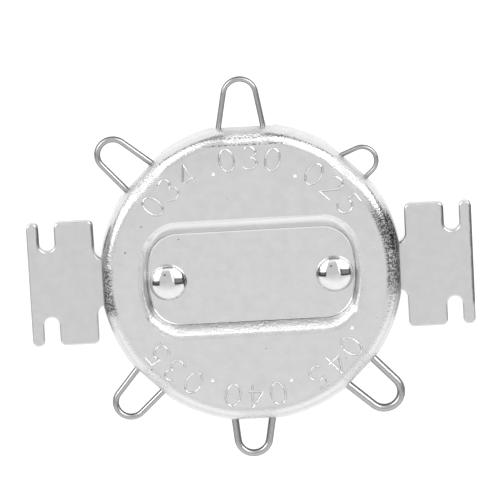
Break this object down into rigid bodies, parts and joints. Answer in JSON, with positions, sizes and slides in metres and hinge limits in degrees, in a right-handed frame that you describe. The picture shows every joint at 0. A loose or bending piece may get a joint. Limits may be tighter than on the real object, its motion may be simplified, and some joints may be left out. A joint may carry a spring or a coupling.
{
  "type": "spark plug gap gauge",
  "caption": "Round pressed-steel spark plug gap gauge with wire gauge loops around its case and slotted electrode bending tabs.",
  "frame": {"origin": "on the axis of the round case, in the plane that the gauge rests on", "axes": "+X from the left tab to the right tab, +Y towards the 0.030 inch loop, +Z out of the numbered face"},
  "size_m": [0.0624, 0.0551, 0.005],
  "materials": {
    "case_steel": "zinc plated satin",
    "tab_steel": "zinc plated satin",
    "rivet_steel": "bright",
    "wire_steel": "polished spring wire"
  },
  "bodies": {
    "root": {"front_shell": "case_steel", "back_plate": "case_steel", "tab_left": "tab_steel", "tab_right": "tab_steel", "rivets": "rivet_steel", "wire_loop_025": "wire_steel", "wire_loop_030": "wire_steel", "wire_loop_034": "wire_steel", "wire_loop_035": "wire_steel", "wire_loop_040": "wire_steel", "wire_loop_045": "wire_steel"}
  },
  "joints": []
}
